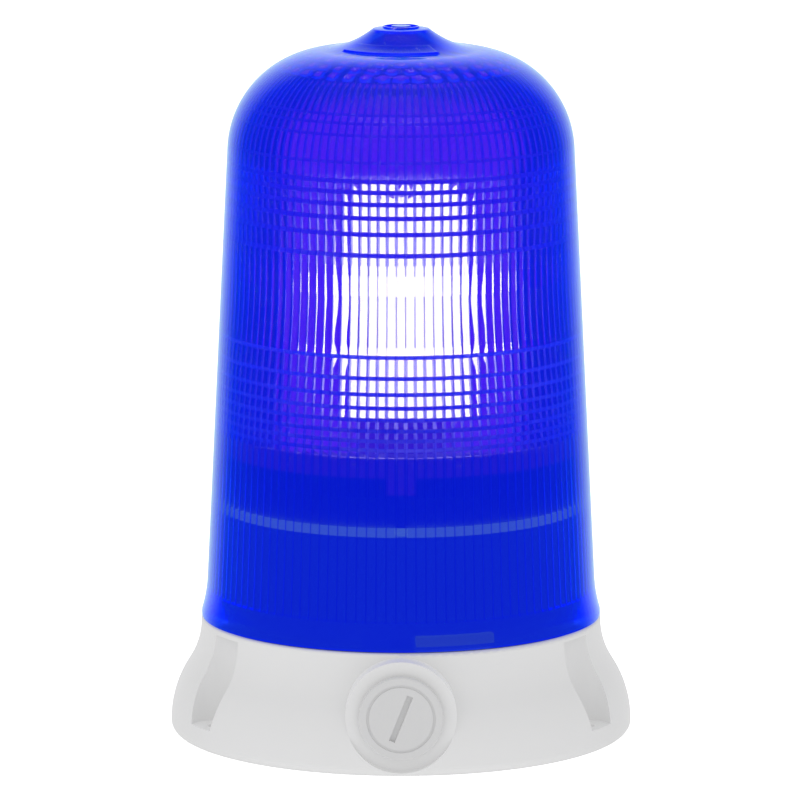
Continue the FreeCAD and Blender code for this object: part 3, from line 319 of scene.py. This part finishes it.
def floor_paint():
    """Matt white floor, lit from within so that it stays pure white round the object."""
    material, tree, output = new_material("pale_floor")
    shader = add(tree, "ShaderNodeBsdfPrincipled",
                 inputs={"Base Color": linear("#ededed"), "Roughness": 0.9, "Specular IOR Level": 0.0,
                         "Emission Color": linear("#ffffff"), "Emission Strength": 0.7})
    tree.links.new(shader.outputs["BSDF"], output.inputs["Surface"])
    return material


def outer_wall_r(z):
    """Outer radius of the lens on its drafted wall."""
    return WALL_LOW_R - (z - WALL_LOW_Z) * math.tan(DRAFT)


def crown_point(angle, offset):
    """Radius and height on the crown's arc, moved inwards by an offset; the angle is in degrees."""
    turn = math.radians(angle)
    reach = CROWN_R - offset
    return CROWN_CENTRE_R + reach * math.cos(turn), CROWN_CENTRE_Z + reach * math.sin(turn)


def curve_point(t, start, bend, end):
    """A point part of the way along a quadratic curve."""
    return tuple((1 - t) ** 2 * a + 2 * t * (1 - t) * b + t * t * c for a, b, c in zip(start, bend, end))


def nipple_flare(offset, steps):
    """Points of the hollow curve from the crown's end up to the nipple."""
    start = crown_point(CROWN_SWEEP, offset)
    outer_z = crown_point(CROWN_SWEEP, 0.0)[1]
    end = (NIPPLE_R - offset, outer_z + NIPPLE_RISE - offset)
    lean = math.radians(90.0 - CROWN_SWEEP)
    reach = math.hypot(end[0] - start[0], end[1] - start[1]) / 2.0
    bend = (start[0] - reach * math.cos(lean), start[1] + reach * math.sin(lean))
    return [curve_point(i / steps, start, bend, end) for i in range(1, steps + 1)]


def outer_profile():
    """Radius and height pairs up the outside of the lens to the middle of its nipple."""
    lip_top = LENS_LOW.z + LIP_EDGE_H
    bend = (WALL_LOW_R + (WALL_LOW_Z - lip_top) * math.tan(DRAFT) / 2, (lip_top + WALL_LOW_Z) / 2)
    rows = [(SKIRT_BORE_R, LENS_LOW.z), (LIP_R, LENS_LOW.z)]
    for i in range(LIP_ROWS + 1):
        rows.append(curve_point(i / LIP_ROWS, (LIP_R, lip_top), bend, (WALL_LOW_R, WALL_LOW_Z)))
    for i in range(1, WALL_ROWS + 1):
        z = WALL_LOW_Z + WALL_H * i / WALL_ROWS
        rows.append((outer_wall_r(z), z))
    first = math.degrees(DRAFT)
    for i in range(1, CROWN_ROWS + 1):
        rows.append(crown_point(first + (CROWN_SWEEP - first) * i / CROWN_ROWS, 0.0))
    rows += nipple_flare(0.0, FLARE_ROWS)
    low = rows[-1][1]
    top = low + NIPPLE_EDGE
    dip = top - NIPPLE_RING_DEPTH
    rows += [
        (NIPPLE_R - NIPPLE_EDGE, low + NIPPLE_EDGE / 4),
        (DOME_R, top - NIPPLE_EDGE / 4),
        (DOME_R - NIPPLE_EDGE / 2, top + NIPPLE_EDGE),
        (NIPPLE_RING_R - NIPPLE_EDGE, top + NIPPLE_EDGE),
        (NIPPLE_RING_R - 2 * NIPPLE_EDGE, dip),
        (NUB_R, dip),
        (NUB_R, top + NUB_RISE - NIPPLE_EDGE / 2),
        (NUB_R - NIPPLE_EDGE / 2, top + NUB_RISE),
        (0.0, top + NUB_RISE),
    ]
    return rows


def ring_relief(z):
    """How far the stepped rings of the inner wall stand back from their crests at a height."""
    zone = ((z - FOCUS_Z) / FIRST_RING_R) ** 2
    if zone >= RING_COUNT:
        return RING_STEP * RING_CREST_SHARE
    return (zone - math.floor(zone)) * RING_STEP


def ring_heights(highest):
    """Heights of the rows over the stepped rings, from the top down, and whether a riser follows each."""
    reaches = [FIRST_RING_R * math.sqrt(k) for k in range(RING_COUNT + 1)]
    edges = [FOCUS_Z + reach for reach in reversed(reaches)] + [FOCUS_Z - reach for reach in reaches[1:]]
    heights = []
    for top, bottom in zip(edges[:-1], edges[1:]):
        for j in range(RING_ROWS + 1):
            z = top + (bottom - top) * j / RING_ROWS
            if z >= highest or (j == 0 and top == FOCUS_Z):
                continue
            shift = 0.0
            if j == 0:
                shift = -RISER_H / 2
            elif j == RING_ROWS and bottom != FOCUS_Z:
                shift = RISER_H / 2
            heights.append((z + shift, j == RING_ROWS and bottom not in (FOCUS_Z, edges[-1])))
    return heights


def matt_start(z):
    """Where the matt skin begins across a flute at a height of the rings."""
    if any(low * MM < z < high * MM for low, high in GLARE_BANDS):
        return NO_GROOVE
    return WIDE_GROOVE if abs(z - FOCUS_Z) > FIRST_RING_R - RISER_H else NARROW_GROOVE


def crown_angles(lowest):
    """Angles of the inner rows over the crown, from the top down, and whether a matt ring starts at each."""
    angles = []
    for i in range(CROWN_INNER_ROWS + 1):
        angle = CROWN_SWEEP - (CROWN_SWEEP - lowest) * i / CROWN_INNER_ROWS
        if angle < COARSE_BELOW and i % COARSE_EVERY:
            continue
        if all(abs(angle - ring) > CROWN_RING_HALF for ring in CROWN_RINGS):
            angles.append((angle, False))
    for ring in CROWN_RINGS:
        angles.append((ring + CROWN_RING_HALF, True))
        angles.append((ring - CROWN_RING_HALF, False))
    return sorted(angles, reverse=True)


def inner_rows():
    """Radius, height, flute share and start of the matt skin for each row, from the top down to the skirt."""
    flare = nipple_flare(LENS_WALL, INNER_FLARE_ROWS)
    rows = [(0.0, flare[-1][1], 0.0, NO_GROOVE)]
    rows += [(r, z, 0.0, NO_GROOVE) for r, z in reversed(flare)]
    lowest = math.degrees(DRAFT)
    for angle, ring in crown_angles(lowest):
        r, z = crown_point(angle, LENS_WALL)
        if angle > FLUTE_TOP:
            rows.append((r, z, 0.0, NO_GROOVE))
        else:
            rows.append((r, z, 1.0, WHOLE_ROW if ring else WIDE_GROOVE))
    crest = LENS_WALL + RING_STEP * RING_CREST_SHARE
    heights = ring_heights(crown_point(lowest, LENS_WALL)[1] - RISER_H)
    for z, riser in heights:
        r = outer_wall_r(z) - crest + ring_relief(z)
        rows.append((r, z, 1.0, WHOLE_ROW if riser else matt_start(z)))
    foot = LENS_LOW.z + FLUTE_FOOT_H
    low = heights[-1][0]
    for i in range(1, FOOT_ROWS + 1):
        z = low + (foot - low) * i / FOOT_ROWS
        rows.append((outer_wall_r(z) - LENS_WALL, z, FLUTE_FOOT_SHARE, NARROW_GROOVE))
    rows.append((SKIRT_BORE_R, foot - FOOT_STEP_H, 0.0, NO_GROOVE))
    return rows


def bead_rise(angle, azimuth):
    """Height of the rows of small beads on the inside of the crown at a place."""
    rise = 0.0
    for row_angle, count, shift in BEAD_ROWS:
        gap = 360.0 / count
        nearest = (round(azimuth / gap - shift) + shift) * gap
        r = crown_point(row_angle, LENS_WALL)[0]
        across = math.radians(azimuth - nearest) * r
        along = math.radians(angle - row_angle) * (CROWN_R - LENS_WALL)
        away = math.hypot(across, along)
        if away < BEAD_R:
            rise = max(rise, BEAD_RISE * (1.0 - (away / BEAD_R) ** 2))
    return rise


def plate_rise(r, azimuth):
    """Height of the bare plate above the crown at a place."""
    depth = min(r - PLATE_INNER_R, PLATE_OUTER_R - r, r * math.radians(azimuth - PLATE_START),
                r * math.radians(PLATE_END - azimuth), PLATE_BEVEL)
    return PLATE_RISE * max(0.0, depth) / PLATE_BEVEL


def flute_bulge(angle, across, share):
    """How far a flute stands in at one of its cuts; it fades out in a rounded end on the crown."""
    end = FLUTE_TOP - FLUTE_TOP_ROUND * across ** 2
    left = min(1.0, max(0.0, (end - angle) / FLUTE_TOP_FADE))
    return left * FLUTE_DEPTH * share


def make_mesh(name, verts, faces, material, sharp_angle=30.0):
    """A smooth-shaded mesh object whose sharp edges are those past an angle."""
    mesh = bpy.data.meshes.new(name)
    mesh.from_pydata(verts, [], faces)
    mesh.validate()
    mesh.polygons.foreach_set("use_smooth", [True] * len(mesh.polygons))
    mesh.set_sharp_from_angle(angle=math.radians(sharp_angle))
    mesh.materials.append(material)
    obj = bpy.data.objects.new(name, mesh)
    bpy.context.scene.collection.objects.link(obj)
    return obj


def revolve_rings(rings, count):
    """Vertices and faces of a closed surface through rings. A ring of one point is a pole; no faces join two
    poles, and the last ring joins the first."""
    verts = []
    starts = []
    for ring in rings:
        starts.append(len(verts))
        verts += ring
    faces = []
    for here, ring in enumerate(rings):
        there = (here + 1) % len(rings)
        a = starts[here]
        b = starts[there]
        if len(ring) == 1 and len(rings[there]) == 1:
            continue
        for i in range(count):
            j = (i + 1) % count
            if len(ring) == 1:
                faces.append((a, b + j, b + i))
            elif len(rings[there]) == 1:
                faces.append((a + i, a + j, b))
            else:
                faces.append((a + i, a + j, b + j, b + i))
    return verts, faces


def flute_columns():
    """Columns of the lens's mesh: azimuth, its cosine and sine, place across a flute, share of its depth."""
    columns = []
    for flute in range(FLUTE_COUNT):
        for across, share in FLUTE_CUTS:
            azimuth = (flute + across / 2) * 360.0 / FLUTE_COUNT
            turn = math.radians(azimuth - 90.0)
            if azimuth > 180.0:
                azimuth -= 360.0
            columns.append((azimuth, math.cos(turn), math.sin(turn), across, share))
    return columns


def outer_rings(columns):
    """Rings of the lens's outside, with the bare plate raised on the crown."""
    rings = []
    for r, z in outer_profile():
        if r == 0.0:
            rings.append([(0.0, 0.0, z)])
            continue
        ring = []
        for azimuth, cosine, sine, _, _ in columns:
            raised = plate_rise(r, azimuth) if z > WALL_TOP_Z else 0.0
            ring.append((r * cosine, r * sine, z + raised))
        rings.append(ring)
    return rings


def inner_rings(columns, rows):
    """Rings of the lens's inside, with its flutes and the beads under the crown."""
    rings = []
    for r, z, flute_share, _ in rows:
        if r == 0.0:
            rings.append([(0.0, 0.0, z)])
            continue
        angle = 0.0
        if z > WALL_TOP_Z:
            angle = math.degrees(math.atan2(z - CROWN_CENTRE_Z, r - CROWN_CENTRE_R))
        out = math.cos(math.radians(angle))
        up = math.sin(math.radians(angle))
        beads = angle > FLUTE_TOP and r > BEAD_FREE_R
        ring = []
        for azimuth, cosine, sine, across, share in columns:
            inset = flute_share * flute_bulge(angle, across, share)
            if beads:
                inset += bead_rise(angle, azimuth)
            reach = r - inset * out
            ring.append((reach * cosine, reach * sine, z - inset * up))
        rings.append(ring)
    return rings


def make_lens_shell(material, matt_material):
    """The blue lens: smooth outside, upright flutes and stepped rings inside, beads under the crown."""
    columns = flute_columns()
    count = len(columns)
    rows = inner_rows()
    outside = outer_rings(columns)
    verts, faces = revolve_rings(outside + inner_rings(columns, rows), count)
    shell = make_mesh("lens_shell", verts, faces, material, LENS_SHARP_ANGLE)
    shell.data.materials.append(matt_material)

    # A band of faces starts at each ring but the outer pole, and takes its matt skin from that ring's row
    matt_starts = [NO_GROOVE] * (len(outside) - 1) + [matt for _, _, _, matt in rows]
    edges = [across for across, _ in FLUTE_CUTS] + [1.0]
    middles = [(a + b) / 2 for a, b in zip(edges[:-1], edges[1:])]
    for polygon in shell.data.polygons:
        band, column = divmod(polygon.index, count)
        if abs(middles[column % len(middles)]) > matt_starts[band]:
            polygon.material_index = 1
    return shell


def make_lens_lugs(material):
    """The three bayonet lugs that stand inwards from the lens's skirt."""
    low = LENS_LOW.z + LUG_LOW
    high = low + LUG_T
    outer_r = SKIRT_BORE_R - LUG_SKIN
    corners = ((LUG_INNER_R, low), (outer_r, low), (outer_r, high), (LUG_INNER_R, high))
    sides = len(corners)
    verts = []
    faces = []
    for lug in range(LUG_COUNT):
        base = len(verts)
        for k in range(LUG_STEPS + 1):
            azimuth = LUG_START + (LUG_END - LUG_START) * k / LUG_STEPS + 360.0 / LUG_COUNT * lug
            turn = math.radians(azimuth - 90.0)
            verts += [(r * math.cos(turn), r * math.sin(turn), z) for r, z in corners]
        for k in range(LUG_STEPS):
            a = base + sides * k
            b = a + sides
            for s in range(sides):
                t = (s + 1) % sides
                faces.append((a + s, b + s, b + t, a + t))
        end = base + sides * LUG_STEPS
        faces.append(tuple(base + s for s in range(sides)))
        faces.append(tuple(end + s for s in reversed(range(sides))))
    return make_mesh("lens_lugs", verts, faces, material)


def flash_r(z):
    """Radius of the bright column at a height."""
    swell = 0.0
    for centre, rise, spread in FLASH_SWELLS:
        away = (z - centre * MM) / (spread * MM)
        swell += rise * MM * math.exp(-0.5 * away * away)
    return FLASH_R + swell


def make_flash(material):
    """The white flash round both legs of the tube, at its full glare."""
    tube_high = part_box("flash_tube")[1]
    leg_x = tube_high.x - tube_high.y
    verts = []
    faces = []
    for side in (-1, 1):
        base = len(verts)
        for k in range(FLASH_ROWS + 1):
            z = FLASH_LOW_Z + (FLASH_HIGH_Z - FLASH_LOW_Z) * k / FLASH_ROWS
            r = flash_r(z)
            for s in range(FLASH_SIDES):
                turn = 2 * math.pi * s / FLASH_SIDES
                verts.append((side * leg_x + FLASH_SHIFT + r * math.cos(turn), r * math.sin(turn), z))
        for k in range(FLASH_ROWS):
            a = base + k * FLASH_SIDES
            b = a + FLASH_SIDES
            for s in range(FLASH_SIDES):
                t = (s + 1) % FLASH_SIDES
                faces.append((a + s, a + t, b + t, b + s))
        end = base + FLASH_ROWS * FLASH_SIDES
        faces.append(tuple(base + s for s in reversed(range(FLASH_SIDES))))
        faces.append(tuple(end + s for s in range(FLASH_SIDES)))
    flash = make_mesh("xenon_flash", verts, faces, material)
    flash.visible_diffuse = False
    flash.visible_glossy = False
    return flash


def make_floor():
    """A wide pale floor that runs out past the view."""
    verts = [(0.0, 0.0, 0.0)]
    for i in range(FLOOR_SIDES):
        turn = 2 * math.pi * i / FLOOR_SIDES
        verts.append((FLOOR_R * math.cos(turn), FLOOR_R * math.sin(turn), 0.0))
    faces = [(0, 1 + i, 1 + (i + 1) % FLOOR_SIDES) for i in range(FLOOR_SIDES)]
    floor = make_mesh("floor", verts, faces, floor_paint())
    floor.visible_glossy = False


def make_world():
    """White room: even light for surfaces, and for reflections a dark side behind the camera."""
    world = bpy.data.worlds.new("white_room")
    bpy.context.scene.world = world
    world.use_nodes = True
    tree = world.node_tree
    tree.nodes.clear()
    output = add(tree, "ShaderNodeOutputWorld")
    place = add(tree, "ShaderNodeTexCoord")
    split = add(tree, "ShaderNodeSeparateXYZ", links={"Vector": place.outputs["Generated"]})
    back = add(tree, "ShaderNodeMapRange", {"interpolation_type": "SMOOTHSTEP"},
               {"From Min": ROOM_BACK[0], "From Max": ROOM_BACK[1],
                "To Min": ROOM_FRONT_SHINE, "To Max": 1.0},
               {"Value": split.outputs["Y"]})
    above = add(tree, "ShaderNodeMapRange", {"interpolation_type": "SMOOTHSTEP"},
                {"From Min": ROOM_TOP[0], "From Max": ROOM_TOP[1],
                 "To Min": 0.0, "To Max": ROOM_TOP_SHINE},
                {"Value": split.outputs["Z"]})
    shine = add(tree, "ShaderNodeMath", {"operation": "MAXIMUM"},
                links={0: back.outputs["Result"], 1: above.outputs["Result"]})
    path = add(tree, "ShaderNodeLightPath")
    mirrored = add(tree, "ShaderNodeMath", {"operation": "MULTIPLY"},
                   links={0: path.outputs["Is Glossy Ray"], 1: path.outputs["Is Reflection Ray"]})
    strength = add(tree, "ShaderNodeMix", {"data_type": "FLOAT"}, {2: 1.0},
                   {0: mirrored.outputs["Value"], 3: shine.outputs["Value"]})
    shader = add(tree, "ShaderNodeBackground", inputs={"Color": linear("#ffffff")},
                 links={"Strength": strength.outputs[0]})
    tree.links.new(shader.outputs["Background"], output.inputs["Surface"])


def make_softbox():
    """A large soft lamp at the left front, out of the view and of reflections."""
    data = bpy.data.lights.new("left_softbox", "AREA")
    data.shape = "DISK"
    data.size = SOFTBOX_SIZE
    data.energy = SOFTBOX_WATTS
    lamp = bpy.data.objects.new("left_softbox", data)
    bpy.context.scene.collection.objects.link(lamp)
    lamp.location = SOFTBOX_PLACE
    aim = Vector(SOFTBOX_AIM) - Vector(SOFTBOX_PLACE)
    lamp.rotation_euler = aim.to_track_quat("-Z", "Y").to_euler()
    lamp.visible_camera = False
    lamp.visible_glossy = False
    lamp.visible_transmission = False


def make_camera():
    """The camera at the photograph's distance, height and pitch."""
    data = bpy.data.cameras.new("camera")
    data.sensor_width = SENSOR_MM
    data.lens = SENSOR_MM * FOCAL_PIXELS / FRAME_PIXELS
    data.shift_x = -AXIS_SHIFT_PIXELS / FRAME_PIXELS
    data.clip_end = CAMERA_REACH
    camera = bpy.data.objects.new("camera", data)
    bpy.context.scene.collection.objects.link(camera)
    camera.location = (0.0, -CAMERA_DISTANCE, CAMERA_HEIGHT)
    camera.rotation_euler = (math.radians(90.0 - CAMERA_PITCH), 0.0, 0.0)
    bpy.context.scene.camera = camera


make_camera()
make_world()
make_floor()
make_softbox()
bpy.context.scene.view_settings.view_transform = "Standard"

# Smooth moulded wall: deep glossy blue, through which the glare and the drum show, with a painted blue glow
# that lifts the whole lens though it is no lamp
lens_plastic = blue_lens_plastic("blue_polycarbonate_moulded", "#122f79", 0.0, "#0723ff", 0.35)
# Flute edges and ring steps, spark-eroded in the mould so that they are matt, and painted a darker blue as
# painted shade, with the same painted blue glow: they draw the dark grid
groove_plastic = blue_lens_plastic("blue_polycarbonate_matt_painted_shade", "#04106c", 0.4, "#0723ff", 0.35)
# Thick lugs: deep dark blue, with a painted orange glow, though they are no lamp, so that they show through
# the skirt as a greyer bar
lug_plastic = blue_lens_plastic("blue_polycarbonate_lug_painted_glow", "#030d27", 0.1, "#ffbc00", 2.2)

lens_shell = make_lens_shell(lens_plastic, groove_plastic)
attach(lens_shell, "lens")
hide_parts("lens")
lens_lugs = make_lens_lugs(lug_plastic)
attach(lens_lugs, "lens")
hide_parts("lens")

xenon_flash = make_flash(plasma_light())
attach(xenon_flash, "base")

# Light grey ABS, satin from its mould: a slightly soft surface, made even and pale by a painted white glow
# that lifts its shaded sides though it is no lamp
housing_grey = moulded_plastic("grey_abs_moulded", "#a0a0a0", "#9d9d9d", 0.42, 0.6, glow=0.3)
# The same ABS on the small plug: a touch glossier, and darker because it has half the housing's painted white
# glow, so that its rings read
plug_grey = moulded_plastic("grey_abs_plug", "#a6a6a6", "#a3a3a3", 0.38, 0.6, glow=0.15)
# Pale ABS plate with a painted orange glow, though it is no lamp: its edge shows as a bright dashed line
# through the blue flutes
pale_plate = moulded_plastic("pale_abs_plate", "#e2e4e6", "#d8dade", 0.45, 0.8,
                             glow_colour="#ffb700", glow=5.5)
# White ABS disc under the flash, with a painted red glow though it is no lamp: it shows as a violet tab
# through the blue
white_cap = moulded_plastic("white_abs_reflector", "#f4f4f4", "#ececec", 0.3, 0.8,
                            glow_colour="#ff1245", glow=1.7)
# Pale grey ABS drum: it keeps the lower lens an even mid blue
drum_plastic = moulded_plastic("grey_abs_drum", "#dcdee2", "#d2d6dc", 0.5, 0.8)
# Black phenolic: dull, nearly black mouldings
dark_plastic = moulded_plastic("black_phenolic_moulded", "#26272a", "#1c1d20", 0.45, 0.7)
# Closed-cell foam: dead matt black with a pitted skin
foam = moulded_plastic("closed_cell_foam", "#242424", "#161616", 0.85, 0.5, 0.15)
# Moulded grey rubber: matt and even, a fine line round the lens and the plug
rubber = moulded_plastic("moulded_rubber", "#6c6e70", "#5c5e60", 0.75, 0.5)
# Cast epoxy: black and fairly glossy, with slow waves from the pour
resin = moulded_plastic("cast_epoxy", "#202022", "#141416", 0.35, 1.5)
# Solder resist on laminate: glossy dark green
board_green = moulded_plastic("solder_resist_laminate", "#2e7d4a", "#236339", 0.35, 0.4)
# Shrink sleeve: tight glossy black film
sleeve = moulded_plastic("shrink_sleeve", "#20222a", "#181a20", 0.25, 1.0)
# Sintered ferrite: dull dark grey with a fine grit
ferrite = moulded_plastic("sintered_ferrite", "#3a3b3e", "#2c2d30", 0.6, 0.3)
# Polyester tape: glossy yellow wraps
tape = moulded_plastic("polyester_tape", "#e0c248", "#cbae38", 0.3, 1.2)
# Moulded capacitor case: glossy brick red
film_case = moulded_plastic("film_capacitor_case", "#b03428", "#9a2a20", 0.3, 0.8)
# Resistor lacquer: pale blue-green with a satin gloss
lacquer = moulded_plastic("resistor_lacquer", "#8fb4bc", "#7ba2ac", 0.35, 0.6)
# Dipped epoxy: glossy mid blue with soft unevenness
varistor_coat = moulded_plastic("dipped_epoxy", "#2c4c9c", "#223e84", 0.3, 0.8)
# Moulded polyamide: satin green
terminal_green = moulded_plastic("terminal_polyamide", "#3c8c4e", "#2f7540", 0.4, 0.7)
# Zinc plating on steel: bright, cool and slightly uneven
zinc = metal_finish("zinc_plated_steel", "#d8dade", "#b4b8be", 0.28, 0.4)
# Nickel plating on brass: bright with a warm cast
nickel = metal_finish("nickel_plated_brass", "#e2dcc8", "#c4bca4", 0.22, 0.5)
# Drawn tungsten: dull mid grey metal
tungsten = metal_finish("drawn_tungsten", "#a8a8a8", "#8c8c8c", 0.35, 0.3)
# Extruded aluminium: pale, soft metallic sheen
aluminium = metal_finish("extruded_aluminium", "#e0e2e6", "#c4c8ce", 0.35, 0.3)
# Clear acrylic cover with a painted pink glow round the flash, though it is no lamp; the blue lens turns the
# pink violet
cover_plastic = clear_finish("clear_acrylic_cover", "#fbfcff", 0.0, 1.49, "#ff1860", 2.7, 0.1)
# Borosilicate glass tube: clear, with bright edges
tube_glass = clear_finish("borosilicate_tube", "#ffffff", 0.0, 1.47)
# Fuse glass: clear with a faint green cast
fuse_glass = clear_finish("fuse_glass", "#f4f8f6", 0.02, 1.5)

FINISHES = {
    "base_housing": housing_grey, "blanking_plug": plug_grey, "base_gasket": foam,
    "cable_grommet": rubber, "lens_seal": rubber, "plug_washer": rubber,
    "chassis_plate": pale_plate, "lamp_drum": drum_plastic, "reflector_disc": white_cap,
    "inner_cover": cover_plastic, "lamp_socket": dark_plastic, "tube_base": dark_plastic,
    "power_transistor": dark_plastic, "flash_tube": tube_glass, "tube_electrodes": tungsten,
    "base_pins": nickel, "trigger_bands": nickel, "fuse_clips": nickel,
    "trigger_transformer": resin, "circuit_board": board_green, "main_capacitors": sleeve,
    "transformer_core": ferrite, "transformer_winding": tape, "heatsink": aluminium,
    "film_capacitor": film_case, "resistors": lacquer, "varistor": varistor_coat,
    "fuse": fuse_glass, "terminal_block": terminal_green, "terminal_screws": zinc,
    "chassis_screws": zinc, "drum_screws": zinc, "socket_screws": zinc, "board_screws": zinc,
}
for node_name, finish in FINISHES.items():
    dress(node_name, finish)
